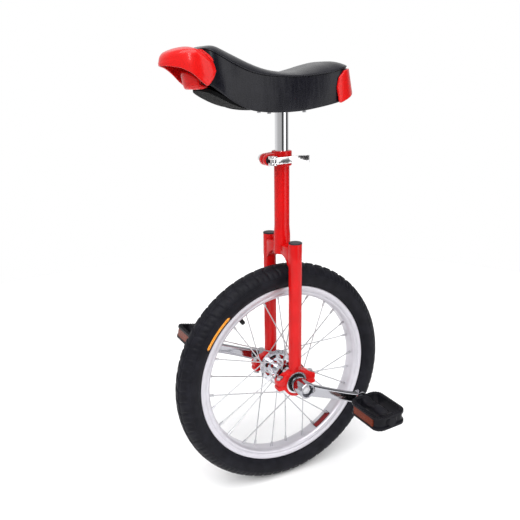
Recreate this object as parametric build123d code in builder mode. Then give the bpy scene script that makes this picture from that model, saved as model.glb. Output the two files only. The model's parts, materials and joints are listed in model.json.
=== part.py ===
"""Unicycle with a 16 inch wheel.

Units are millimetres. The origin is the tyre's contact point with the ground.
+X points forward, to the saddle's lifting handle, +Y to the rider's left, +Z up.
"""
import os
from math import cos, radians, sin

from build123d import *

os.makedirs("parts", exist_ok=True)

# ---------------------------------------------------------------- driving dimensions
WHEEL_R = 203.0            # tyre outer radius, 16 inch wheel
TYRE_HALF_W = 23.5         # tyre section 47 wide
BEAD_R = 156.0             # radius of the tyre's bead toe
RIM_R = 162.0              # rim flange edge
RIM_BED_R = 146.5          # rim face that the spoke nipples come out of
RIM_HALF_W = 14.5
RIM_WALL = 2.0
BED_WALL = 3.0

SPOKES_PER_SIDE = 14
SPOKE_R = 1.0
SPOKE_CROSSES = 2
SPOKE_PHASE = -3.0         # angle of one nipple, degrees above +X
NIPPLE_R = 2.0
NIPPLE_LENGTH = 12.0
NIPPLE_STAGGER = 2.5

VALVE_ANGLE = SPOKE_PHASE + 4.5 * 180 / SPOKES_PER_SIDE
VALVE_R = 4.0
VALVE_FOOT_R = 162.4       # where the stem leaves the inner tube
VALVE_BODY = 19.0          # rubber part of the stem
VALVE_NECK = 6.5           # thread under the cap
VALVE_NECK_R = 2.6
CAP_LENGTH = 11.0

FLANGE_Y = 26.0            # hub flange centre
FLANGE_R = 31.0
FLANGE_T = 3.0
SPOKE_CIRCLE_R = 27.5
HUB_BARREL_R = 13.5

AXLE_R = 8.5               # 17 mm bearing seat
BEARING_Y = 43.5           # bearing and fork leg centre plane
BEARING_OUTER_R = 20.0
BEARING_WIDTH = 12.0
BALL_CIRCLE_R = 14.5
BALL_R = 2.48
BALLS = 8
INNER_RACE_R = 11.5
OUTER_RACE_R = 17.0
TAPER_START_Y = 56.0       # square drive for the cranks
TAPER_END_Y = 75.0
TAPER_START_W = 12.6
TAPER_END_W = 11.6

CRANK_LENGTH = 110.0
CRANK_ANGLE = 19.8         # left crank below the horizontal, pointing back
BOSS_END_Y = 86.0
BOSS_R = 14.0
EXTRACTOR_R = 11.0         # M22 crank puller thread
EYE_START_Y = 84.5
EYE_END_Y = 98.0
EYE_R = 12.5
PEDAL_THREAD_R = 7.14      # 9/16 inch

PEDAL_START_Y = 103.0
PEDAL_LENGTH = 80.0
PEDAL_DEPTH = 62.0
PEDAL_HEIGHT = 25.0
PEDAL_RAIL_T = 8.0
PEDAL_TREAD_W = 18.0       # middle bar over the spindle
PEDAL_TILT = {"left": -3.0, "right": 12.0}

LEG_R = 11.1               # 22.2 mm fork tube
LEG_WALL = 1.6
LEG_TOP = 451.0
LEG_BOTTOM = 236.0
HOLDER_WIDTH = 14.0
HOLDER_R = 24.5
EAR_X = 30.0               # holder bolts
EAR_END_X = 37.0
EAR_T = 10.0
CAP_EAR_T = 8.0
HOLDER_BOLT_R = 3.0

TUBE_R = 12.7              # 25.4 mm main tube
TUBE_FOOT_R = 13.9
TUBE_TOP = 598.0
TUBE_BOTTOM = 426.0
TUBE_BORE_R = 11.1
CROWN_TOP = 444.0
CROWN_HALF_X = 9.5

CLAMP_R = 16.5
CLAMP_BOTTOM = 574.0
SKEWER_X = 27.0
SKEWER_Z = 585.0
EAR_GAP = 3.0
CLAMP_EAR_Y = 9.5
CLAMP_EAR_R = 9.5
CAM_Y = 19.0
CAM_R = 7.5
CAM_HEIGHT = 15.0
LEVER_LENGTH = 64.0

POST_R = 11.0              # 22 mm seat post
POST_WALL = 2.0
POST_BOTTOM = 480.0
PLATE_BOTTOM = 667.0
PLATE_T = 3.0
SADDLE_BOLT_X = 32.0
SADDLE_BOLT_Y = 17.0
SADDLE_BOLT_R = 3.0
STUD_GRIP = 2.0
BASE_T = 6.0

# saddle curves: plan outline as (x, y), side view curves as (x, z)
NOSE_X = 149.0
TAIL_X = -112.0
PLAN = [(NOSE_X, 0), (147, 22), (139, 37), (120, 43), (88, 42.5), (52, 45), (18, 51), (-18, 60),
        (-52, 67), (-78, 65), (-99, 49), (-109, 26), (TAIL_X, 0)]
TOP = [(160, 748), (148, 755), (136, 758), (122, 757), (97, 747), (66, 733.5), (43, 725.5), (19, 721.2),
       (-5, 721), (-30, 726), (-55, 732.3), (-80, 736), (-102, 734.5), (-125, 726)]
SKIRT = [(160, 705), (140, 702), (127, 694), (110, 682.5), (93, 673), (76, 666), (56, 662.3), (34, 661),
         (12, 661), (-9, 663), (-35, 668), (-68, 675), (-102, 684), (-125, 691)]
BASE_DROP = [(175, 704), (150, 697), (122, 683), (100, 673), (80, 667.5), (60, 667), (34, 669), (0, 669.5),
             (-34, 670), (-66, 679), (-102, 690), (-130, 699)]

HANDLE_PLAN = [(128, 47), (150, 46), (172, 39.5), (189, 26), (197.5, 12), (200, 0)]
HANDLE_TOP = [(131, 728), (136, 739), (146, 748.5), (157, 755), (173, 754), (190, 748), (203, 739)]
HANDLE_WALL = 4.5
BUMPER_SIDE = [(-58, 696), (-61, 711), (-74, 721), (-100, 724), (-125, 725), (-125, 692), (-104, 687),
               (-63, 672)]
BUMPER_T = 4.0

SIDES = {"left": 1, "right": -1}

AXLE_LINE = Axis((0, 0, WHEEL_R), (0, 1, 0))
WHEEL_SECTION = Plane(origin=(0, 0, WHEEL_R), x_dir=(0, 0, 1), z_dir=(-1, 0, 0))
SIDE_VIEW = Plane(origin=(0, 90, 0), x_dir=(1, 0, 0), z_dir=(0, -1, 0))


# ---------------------------------------------------------------- helpers
def save(piece, name):
    """Label a finished piece and write its STEP."""
    piece.part.label = name
    export_step(piece.part, f"parts/{name}.step")


def facing_y(x, y, z, side=1):
    """Plane at a point, with its normal along +Y or -Y and its local y along +Z."""
    return Plane(origin=(x, y, z), x_dir=(-side, 0, 0), z_dir=(0, side, 0))


def wheel_point(radius, angle, y):
    """Point at a radius and an angle in degrees above +X, about the axle."""
    turn = radians(angle)
    return Vector(radius * cos(turn), y, WHEEL_R + radius * sin(turn))


def ring(inner_r, outer_r, y_low, y_high):
    """Sketch a rectangle of the wheel section and revolve it about the axle."""
    with BuildSketch(WHEEL_SECTION) as section:
        with Locations(((inner_r + outer_r) / 2, (y_low + y_high) / 2)):
            Rectangle(outer_r - inner_r, y_high - y_low)
    revolve(section.sketch, axis=AXLE_LINE)


def rod(start, end, radius, mode=Mode.ADD):
    """Round bar between two points."""
    start, end = Vector(*start), Vector(*end)
    along = end - start
    with BuildSketch(Plane(origin=start, z_dir=along.normalized())) as section:
        Circle(radius)
    extrude(section.sketch, amount=along.length, mode=mode)


def nut(plane, across_flats, thickness):
    """Hexagonal prism on a plane."""
    with BuildSketch(plane) as section:
        RegularPolygon(across_flats / 2, 6, major_radius=False)
    extrude(section.sketch, amount=thickness)


# ---------------------------------------------------------------- wheel
def spoke_layout(side):
    """Hub point, elbow side, spoke direction and rim point of each spoke on one side."""
    pitch = 360 / SPOKES_PER_SIDE
    phase = SPOKE_PHASE + (0 if side > 0 else pitch / 2)
    for i in range(SPOKES_PER_SIDE):
        lean = 1 if i % 2 == 0 else -1
        rim_angle = phase + i * pitch
        hub_angle = rim_angle - lean * SPOKE_CROSSES * pitch
        stand_off = 1.5 if lean > 0 else 0.1
        hub_y = side * (FLANGE_Y + lean * (FLANGE_T / 2 + SPOKE_R + stand_off))
        hub = wheel_point(SPOKE_CIRCLE_R, hub_angle, hub_y)
        rim_hole = wheel_point(RIM_BED_R + BED_WALL, rim_angle, side * NIPPLE_STAGGER)
        yield hub, lean, (rim_hole - hub).normalized(), rim_hole


def make_tyre():
    side_wall = [(RIM_R + 1, 14.2), (181, TYRE_HALF_W), (197.5, 15.5)]
    lining = [(163, 9.8), (180, 20.2), (195, 12.5)]
    with BuildPart() as tyre:
        with BuildSketch(WHEEL_SECTION):
            with BuildLine():
                Line((RIM_R + 0.4, 12.3), side_wall[0])
                ThreePointArc(*side_wall)
                ThreePointArc(side_wall[2], (WHEEL_R, 0), (side_wall[2][0], -side_wall[2][1]))
                ThreePointArc(*[(r, -y) for r, y in reversed(side_wall)])
                Polyline((side_wall[0][0], -side_wall[0][1]), (RIM_R + 0.4, -12.3),
                         (BEAD_R, -12.3), (BEAD_R, -8.5), (lining[0][0], -lining[0][1]))
                ThreePointArc(*[(r, -y) for r, y in lining])
                ThreePointArc((lining[2][0], -lining[2][1]), (199, 0), lining[2])
                ThreePointArc(*reversed(lining))
                Polyline(lining[0], (BEAD_R, 8.5), (BEAD_R, 12.3), (RIM_R + 0.4, 12.3))
            make_face()
        revolve(axis=AXLE_LINE)
    save(tyre, "tyre")


def make_inner_tube():
    with BuildPart() as inner_tube:
        with BuildSketch(WHEEL_SECTION):
            with Locations((179.5, 0)):
                Circle(17)
                Circle(15.8, mode=Mode.SUBTRACT)
        revolve(axis=AXLE_LINE)
    save(inner_tube, "inner_tube")


def make_rim():
    half = [(RIM_R, RIM_HALF_W - RIM_WALL), (RIM_R, RIM_HALF_W), (151.5, RIM_HALF_W),
            (148, 12.6), (RIM_BED_R, 9)]
    inside = [(RIM_BED_R + BED_WALL, 8.5), (153, RIM_HALF_W - RIM_WALL)]
    with BuildPart() as rim:
        with BuildSketch(WHEEL_SECTION):
            with BuildLine():
                Polyline(*half, *[(r, -y) for r, y in reversed(half)],
                         *[(r, -y) for r, y in reversed(inside)], *inside, half[0])
            make_face()
        revolve(axis=AXLE_LINE)
        for side in SIDES.values():
            for _, _, along, rim_hole in spoke_layout(side):
                rod(rim_hole - along * 8, rim_hole + along * 3, NIPPLE_R + 0.15, Mode.SUBTRACT)
        valve = wheel_point(RIM_BED_R, VALVE_ANGLE, 0)
        outward = (valve - Vector(0, 0, WHEEL_R)).normalized()
        rod(valve - outward * 5, valve + outward * 5, VALVE_R + 0.1, Mode.SUBTRACT)
    save(rim, "rim")


def make_rim_tape():
    tape_r = RIM_BED_R + BED_WALL + 3.6
    with BuildPart() as rim_tape:
        ring(tape_r, tape_r + 0.8, -8.2, 8.2)
        valve = wheel_point(tape_r, VALVE_ANGLE, 0)
        outward = (valve - Vector(0, 0, WHEEL_R)).normalized()
        rod(valve - outward * 3, valve + outward * 3, VALVE_R + 0.1, Mode.SUBTRACT)
    save(rim_tape, "rim_tape")


def make_valve():
    """Rubber stem with its cap, on the line from the axle through the valve hole."""
    foot = wheel_point(VALVE_FOOT_R, VALVE_ANGLE, 0)
    inward = (Vector(0, 0, WHEEL_R) - foot).normalized()
    neck = foot + inward * VALVE_BODY
    with BuildPart() as valve_stem:
        rod(foot, neck, VALVE_R)
        rod(neck, neck + inward * VALVE_NECK, VALVE_NECK_R)
    save(valve_stem, "valve_stem")
    with BuildPart() as valve_cap:
        rod(neck + inward * 0.4, neck + inward * (CAP_LENGTH + 0.4), VALVE_R - 0.1)
        rod(neck, neck + inward * (VALVE_NECK + 0.5), VALVE_NECK_R, Mode.SUBTRACT)
        chamfer(valve_cap.faces().sort_by_distance(Vector(0, 0, WHEEL_R))[0].edges(), 0.8)
    save(valve_cap, "valve_cap")


def make_spokes(name, side):
    with BuildPart() as spokes:
        for hub, lean, along, rim_hole in spoke_layout(side):
            rod(hub, rim_hole - along * NIPPLE_LENGTH, SPOKE_R)
            in_y = Vector(0, side * lean, 0)
            far_face = Vector(hub.X, side * (FLANGE_Y - lean * FLANGE_T / 2), hub.Z)
            rod(hub, far_face - in_y * 1.0, SPOKE_R)
            rod(far_face, far_face - in_y * 1.0, 1.9)
            with Locations(hub):
                Sphere(SPOKE_R)
    save(spokes, f"spokes_{name}")


def make_nipples():
    with BuildPart() as nipples:
        for side in SIDES.values():
            for _, _, along, rim_hole in spoke_layout(side):
                rod(rim_hole - along * NIPPLE_LENGTH, rim_hole + along * 1.0, NIPPLE_R)
                rod(rim_hole + along * 0.8, rim_hole + along * 2.4, NIPPLE_R + 0.8)
    save(nipples, "spoke_nipples")


def hub_angle(side, angle):
    """Angle in the sketch plane of one flange for an angle above +X."""
    return 180 - angle if side > 0 else angle


def make_hub_shell():
    pitch = 360 / SPOKES_PER_SIDE
    inner_face = FLANGE_Y - FLANGE_T / 2
    outer_face = FLANGE_Y + FLANGE_T / 2
    with BuildPart() as hub_shell:
        ring(AXLE_R + 0.02, HUB_BARREL_R, -inner_face, inner_face)
        for side in SIDES.values():
            ring(AXLE_R + 0.02, FLANGE_R, *sorted((side * inner_face, side * outer_face)))
            ring(AXLE_R + 0.02, HUB_BARREL_R + 1, *sorted((side * outer_face, side * (outer_face + 3))))
            phase = SPOKE_PHASE + (0 if side > 0 else pitch / 2)
            with BuildSketch(facing_y(0, side * (inner_face - 0.5), WHEEL_R, side)):
                with PolarLocations(SPOKE_CIRCLE_R, SPOKES_PER_SIDE, start_angle=hub_angle(side, phase)):
                    Circle(SPOKE_R + 0.1)
                with PolarLocations(19.5, 7, start_angle=hub_angle(side, phase + pitch / 2)):
                    SlotOverall(13, 7, rotation=90)
            extrude(amount=FLANGE_T + 1, mode=Mode.SUBTRACT)
    save(hub_shell, "hub_shell")


def square_taper(side, extra=0.0, mode=Mode.ADD):
    """Square drive that narrows towards the axle's end."""
    sections = []
    for y, width in ((TAPER_START_Y, TAPER_START_W), (TAPER_END_Y, TAPER_END_W)):
        with BuildSketch(facing_y(0, side * y, WHEEL_R, side)) as section:
            RectangleRounded(width + extra, width + extra, 2.6)
        sections.append(section.sketch.face())
    loft(sections, mode=mode)


def make_axle():
    with BuildPart() as axle:
        ring_end = BEARING_Y + BEARING_WIDTH / 2 + 1
        rod((0, -ring_end, WHEEL_R), (0, ring_end, WHEEL_R), AXLE_R)
        for side in SIDES.values():
            rod((0, side * ring_end, WHEEL_R), (0, side * TAPER_START_Y, WHEEL_R), 7.8)
            square_taper(side)
            rod((0, side * TAPER_END_Y, WHEEL_R), (0, side * (TAPER_END_Y + 6), WHEEL_R), 4.0)
    save(axle, "axle")


# ---------------------------------------------------------------- bearings
def make_bearing(name, side):
    low, high = sorted(side * (BEARING_Y + k * BEARING_WIDTH / 2) for k in (-1, 1))
    with BuildPart() as inner_race:
        ring(AXLE_R, INNER_RACE_R, low, high)
    save(inner_race, f"bearing_inner_race_{name}")
    with BuildPart() as outer_race:
        ring(OUTER_RACE_R, BEARING_OUTER_R, low, high)
    save(outer_race, f"bearing_outer_race_{name}")
    with BuildPart() as balls:
        for i in range(BALLS):
            with Locations(wheel_point(BALL_CIRCLE_R, 360 / BALLS * i, side * BEARING_Y)):
                Sphere(BALL_R)
    save(balls, f"bearing_balls_{name}")
    with BuildPart() as seals:
        ring(INNER_RACE_R + 0.4, OUTER_RACE_R, low + 0.3, low + 1.5)
        ring(INNER_RACE_R + 0.4, OUTER_RACE_R, high - 1.5, high - 0.3)
    save(seals, f"bearing_seals_{name}")


# ---------------------------------------------------------------- cranks and pedals
def crank_turn(side):
    """Angle of a crank above +X: the left one points back and down."""
    return 180 + CRANK_ANGLE if side > 0 else CRANK_ANGLE


def make_crank(name, side):
    turn = crank_turn(side)
    tip = wheel_point(CRANK_LENGTH, turn, 0)
    out = Vector(cos(radians(turn)), 0, sin(radians(turn)))
    stations = [(0, 77.5, 22, 13), (30, 80.5, 19, 12.5), (75, 87, 17.5, 11.5),
                (CRANK_LENGTH, 91.2, 20, 13)]
    with BuildPart() as crank:
        rod((0, side * (TAPER_START_Y - 1), WHEEL_R), (0, side * BOSS_END_Y, WHEEL_R), BOSS_R)
        chamfer(crank.edges().filter_by(GeomType.CIRCLE), 1.2)
        for run, y, height, thickness in stations:
            plane = Plane(origin=Vector(0, side * y, WHEEL_R) + out * run, x_dir=(0, 1, 0), z_dir=out)
            with BuildSketch(plane):
                RectangleRounded(thickness, height, 4)
        loft()
        rod((tip.X, side * EYE_START_Y, tip.Z), (tip.X, side * EYE_END_Y, tip.Z), EYE_R)
        rod((tip.X, side * 80, tip.Z), (tip.X, side * 100, tip.Z), PEDAL_THREAD_R + 0.02, Mode.SUBTRACT)
        rod((0, side * TAPER_END_Y, WHEEL_R), (0, side * 90, WHEEL_R), EXTRACTOR_R, Mode.SUBTRACT)
        rod((0, side * 50, WHEEL_R), (0, side * TAPER_START_Y, WHEEL_R), 7.9, Mode.SUBTRACT)
        square_taper(side, 0.04, Mode.SUBTRACT)
    save(crank, f"crank_{name}")


def make_crank_nuts():
    with BuildPart() as crank_nuts:
        for side in SIDES.values():
            seat = TAPER_END_Y + 0.2
            rod((0, side * seat, WHEEL_R), (0, side * (seat + 1.6), WHEEL_R), 8.6)
            nut(facing_y(0, side * (seat + 1.6), WHEEL_R, side), 13, 5)
            rod((0, side * 70, WHEEL_R), (0, side * 90, WHEEL_R), 4.02, Mode.SUBTRACT)
    save(crank_nuts, "crank_nuts")


def make_pedal_spindle(name, side):
    tip = wheel_point(CRANK_LENGTH, crank_turn(side), 0)

    def at(y):
        return (tip.X, side * y, tip.Z)

    with BuildPart() as spindle:
        rod(at(EYE_START_Y - 0.5), at(EYE_END_Y + 0.1), PEDAL_THREAD_R)
        nut(facing_y(tip.X, side * (EYE_END_Y + 0.1), tip.Z, side), 15, 3.6)
        rod(at(EYE_END_Y + 3), at(PEDAL_START_Y + 20), 6.0)
        rod(at(PEDAL_START_Y + 20), at(PEDAL_START_Y + 70), 4.5)
    save(spindle, f"pedal_spindle_{name}")


def pedal_planes(name, side):
    """Plan, side and end planes through the middle of a pedal, tilted about its spindle."""
    tip = wheel_point(CRANK_LENGTH, crank_turn(side), 0)
    tilt = radians(PEDAL_TILT[name])
    fore = (cos(tilt), 0, sin(tilt))
    up = (-sin(tilt), 0, cos(tilt))
    middle = (tip.X, side * (PEDAL_START_Y + PEDAL_LENGTH / 2), tip.Z)
    plan = Plane(origin=middle, x_dir=fore, z_dir=up)
    front = Plane(origin=middle, x_dir=(0, 1, 0), z_dir=fore)
    end = Plane(origin=(tip.X, side * PEDAL_START_Y, tip.Z), x_dir=fore, z_dir=(0, side, 0))
    return plan, front, end


def make_pedal(name, side):
    plan, front, end = pedal_planes(name, side)
    window = (PEDAL_DEPTH - 2 * PEDAL_RAIL_T - PEDAL_TREAD_W) / 2
    reach = PEDAL_DEPTH / 2
    with BuildPart() as pedal:
        with BuildSketch(plan.offset(-PEDAL_HEIGHT / 2)):
            RectangleRounded(PEDAL_DEPTH, PEDAL_LENGTH, 12)
        extrude(amount=PEDAL_HEIGHT)
        with BuildSketch(plan.offset(-PEDAL_HEIGHT / 2 - 1)):
            with GridLocations(PEDAL_TREAD_W + window, 0, 2, 1):
                RectangleRounded(window, PEDAL_LENGTH - 20, 3)
        extrude(amount=PEDAL_HEIGHT + 2, mode=Mode.SUBTRACT)
        for face in (1, -1):
            with BuildSketch(plan.offset(face * (PEDAL_HEIGHT / 2 + 1))):
                Rectangle(18.5, PEDAL_LENGTH - 20)
            extrude(amount=-face * 5, mode=Mode.SUBTRACT)
            with BuildSketch(front.offset(face * reach)):
                RectangleRounded(52, 15, 2)
            extrude(amount=-face * 3, mode=Mode.SUBTRACT)
            with BuildSketch(front.offset(face * (reach + 1))):
                with GridLocations(4, PEDAL_HEIGHT, 15, 2):
                    Rectangle(1.8, 2.4)
            extrude(amount=-face * (PEDAL_RAIL_T + 1), mode=Mode.SUBTRACT)
        with BuildSketch(end):
            Circle(9.5)
        extrude(amount=PEDAL_LENGTH)
        with BuildSketch(end.offset(-1)):
            Circle(6.05)
        extrude(amount=22, mode=Mode.SUBTRACT)
        with BuildSketch(end.offset(20)):
            Circle(4.56)
        extrude(amount=PEDAL_LENGTH, mode=Mode.SUBTRACT)
        with BuildSketch(end.offset(PEDAL_LENGTH - 8)):
            Circle(8.1)
        extrude(amount=10, mode=Mode.SUBTRACT)
        with BuildSketch(end.offset(PEDAL_LENGTH - 3)):
            with GridLocations(42, 0, 2, 1):
                Rectangle(20, 8)
        extrude(amount=5, mode=Mode.SUBTRACT)
    save(pedal, f"pedal_body_{name}")

    with BuildPart() as reflectors:
        for face in (1, -1):
            with BuildSketch(front.offset(face * (reach - 2.9))):
                RectangleRounded(51.4, 14.4, 1.8)
            extrude(amount=face * 2.4)
    save(reflectors, f"pedal_reflectors_{name}")

    with BuildPart() as dust_cap:
        with BuildSketch(end.offset(PEDAL_LENGTH - 4)):
            Circle(8.05)
        extrude(amount=4.6)
        chamfer(dust_cap.edges().filter_by(GeomType.CIRCLE), 0.5)
    save(dust_cap, f"pedal_dust_cap_{name}")


# ---------------------------------------------------------------- fork
def make_holder(name, side):
    """Upper bearing housing with its ears and the neck that the leg is welded to."""
    low, high = BEARING_Y - HOLDER_WIDTH / 2, BEARING_Y + HOLDER_WIDTH / 2
    face = facing_y(0, side * low, WHEEL_R, side)
    with BuildPart() as holder:
        with BuildSketch(face):
            Circle(HOLDER_R)
            with BuildLine():
                Polyline((-EAR_END_X, 0), (-EAR_END_X, EAR_T), (-20, EAR_T + 9),
                         (20, EAR_T + 9), (EAR_END_X, EAR_T), (EAR_END_X, 0), (-EAR_END_X, 0))
            make_face()
            with Locations((0, 0.2 - 50)):
                Rectangle(100, 100, mode=Mode.SUBTRACT)
        extrude(amount=high - low)
        rod((0, side * (low - 1), WHEEL_R), (0, side * (high + 1), WHEEL_R), BEARING_OUTER_R, Mode.SUBTRACT)
        ears = holder.edges().filter_by(Axis.Y).group_by(Axis.X)
        fillet(ears[0] + ears[-1], 2.5)
        for z, depth in ((WHEEL_R + 21.5, HOLDER_WIDTH - 0.4), (LEG_BOTTOM, 2 * LEG_R)):
            with BuildSketch(Plane.XY.offset(z)):
                with Locations((0, side * BEARING_Y)):
                    RectangleRounded(2 * LEG_R, depth, depth / 2 - 0.1)
        loft()
        for x in (-EAR_X, EAR_X):
            rod((x, side * BEARING_Y, WHEEL_R - 1), (x, side * BEARING_Y, WHEEL_R + 30),
                HOLDER_BOLT_R + 0.3, Mode.SUBTRACT)
            with BuildSketch(Plane.XY.offset(WHEEL_R + EAR_T)):
                with Locations((x, side * BEARING_Y)):
                    Circle(6.6)
            extrude(amount=20, mode=Mode.SUBTRACT)
    save(holder, f"bearing_holder_{name}")

    with BuildPart() as cap:
        with BuildSketch(face):
            Circle(HOLDER_R)
            with Locations((0, -CAP_EAR_T / 2)):
                Rectangle(2 * EAR_END_X, CAP_EAR_T)
            with Locations((0, 50 - 0.2)):
                Rectangle(100, 100, mode=Mode.SUBTRACT)
        extrude(amount=high - low)
        rod((0, side * (low - 1), WHEEL_R), (0, side * (high + 1), WHEEL_R), BEARING_OUTER_R, Mode.SUBTRACT)
        ears = cap.edges().filter_by(Axis.Y).group_by(Axis.X)
        fillet(ears[0] + ears[-1], 2.5)
        for x in (-EAR_X, EAR_X):
            rod((x, side * BEARING_Y, WHEEL_R - 20), (x, side * BEARING_Y, WHEEL_R + 5),
                HOLDER_BOLT_R + 0.3, Mode.SUBTRACT)
    save(cap, f"bearing_cap_{name}")


def make_holder_fasteners():
    top, bottom = WHEEL_R + EAR_T, WHEEL_R - CAP_EAR_T
    spots = [(x, side * BEARING_Y) for x in (-EAR_X, EAR_X) for side in SIDES.values()]
    with BuildPart() as bolts:
        for x, y in spots:
            rod((x, y, top + 0.02), (x, y, top + 1.3), 6.2)
            nut(Plane(origin=(x, y, top + 1.3)), 10, 4)
            rod((x, y, bottom - 6.5), (x, y, top + 0.02), HOLDER_BOLT_R)
    save(bolts, "holder_bolts")
    with BuildPart() as nuts:
        for x, y in spots:
            nut(Plane(origin=(x, y, bottom - 5.02)), 10, 5)
            rod((x, y, bottom - 8), (x, y, bottom + 1), HOLDER_BOLT_R + 0.02, Mode.SUBTRACT)
    save(nuts, "holder_nuts")


def make_leg(name, side):
    with BuildPart() as leg:
        with BuildSketch(Plane.XY.offset(LEG_BOTTOM)):
            with Locations((0, side * BEARING_Y)):
                Circle(LEG_R)
                Circle(LEG_R - LEG_WALL, mode=Mode.SUBTRACT)
        extrude(amount=LEG_TOP - LEG_BOTTOM)
    save(leg, f"fork_leg_{name}")

    with BuildPart() as plug:
        rod((0, side * BEARING_Y, LEG_TOP - 10), (0, side * BEARING_Y, LEG_TOP), LEG_R - LEG_WALL - 0.02)
        rod((0, side * BEARING_Y, LEG_TOP), (0, side * BEARING_Y, LEG_TOP + 2.2), LEG_R + 0.2)
        fillet(plug.edges().sort_by(Axis.Z)[-1], 1.2)
    save(plug, f"leg_end_plug_{name}")


def make_main_tube():
    with BuildPart() as main_tube:
        with BuildSketch(Plane.XZ):
            with BuildLine():
                Polyline((TUBE_BORE_R, TUBE_BOTTOM), (TUBE_FOOT_R, TUBE_BOTTOM), (TUBE_FOOT_R, 458),
                         (TUBE_R, 474), (TUBE_R, TUBE_TOP), (TUBE_BORE_R, TUBE_TOP),
                         (TUBE_BORE_R, TUBE_BOTTOM))
            make_face()
        revolve(axis=Axis.Z)
        with BuildSketch(Plane.XY.offset(TUBE_TOP - 32)):
            with Locations((TUBE_R, 0)):
                Rectangle(2 * TUBE_R, 2)
        extrude(amount=40, mode=Mode.SUBTRACT)
    save(main_tube, "main_tube")


def make_crown(name, side):
    with BuildPart() as crown:
        with BuildSketch(Plane(origin=(-CROWN_HALF_X, 0, 0), x_dir=(0, 1, 0), z_dir=(1, 0, 0))):
            with BuildLine():
                Polyline((side * 8, TUBE_BOTTOM + 1), (side * 8, CROWN_TOP), (side * 40, CROWN_TOP),
                         (side * 40, 409), (side * 33, 414))
                ThreePointArc((side * 33, 414), (side * 24.5, 423.5), (side * 8, TUBE_BOTTOM + 1))
            make_face()
        extrude(amount=2 * CROWN_HALF_X)
        fillet(crown.edges().filter_by(Axis.Y).group_by(Axis.Z)[-1], 2.5)
        rod((0, 0, 400), (0, 0, 460), TUBE_FOOT_R, Mode.SUBTRACT)
        rod((0, side * BEARING_Y, 390), (0, side * BEARING_Y, 460), LEG_R, Mode.SUBTRACT)
    save(crown, f"crown_{name}")


# ---------------------------------------------------------------- seat clamp
def make_clamp():
    slot_x = (TUBE_R + 25) / 2
    with BuildPart() as clamp:
        with BuildSketch(Plane.XY.offset(CLAMP_BOTTOM)):
            Circle(CLAMP_R)
        extrude(amount=TUBE_TOP - CLAMP_BOTTOM)
        fillet(clamp.edges().filter_by(GeomType.CIRCLE), 1.5)
        with BuildSketch(facing_y(0, CLAMP_EAR_Y, 0, -1)):
            with BuildLine():
                Polyline((8, CLAMP_BOTTOM + 3), (SKEWER_X, SKEWER_Z - CLAMP_EAR_R))
                ThreePointArc((SKEWER_X, SKEWER_Z - CLAMP_EAR_R), (SKEWER_X + CLAMP_EAR_R, SKEWER_Z),
                              (SKEWER_X, SKEWER_Z + CLAMP_EAR_R))
                Polyline((SKEWER_X, SKEWER_Z + CLAMP_EAR_R), (8, TUBE_TOP - 1.5), (8, CLAMP_BOTTOM + 3))
            make_face()
        extrude(amount=2 * CLAMP_EAR_Y)
        with BuildSketch(Plane.XY.offset(CLAMP_BOTTOM - 1)):
            Circle(TUBE_R)
            with Locations((slot_x + 5, 0)):
                Rectangle(30, EAR_GAP)
        extrude(amount=TUBE_TOP - CLAMP_BOTTOM + 2, mode=Mode.SUBTRACT)
        rod((SKEWER_X, -20, SKEWER_Z), (SKEWER_X, 20, SKEWER_Z), 3.2, Mode.SUBTRACT)
    save(clamp, "seat_clamp")


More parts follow.
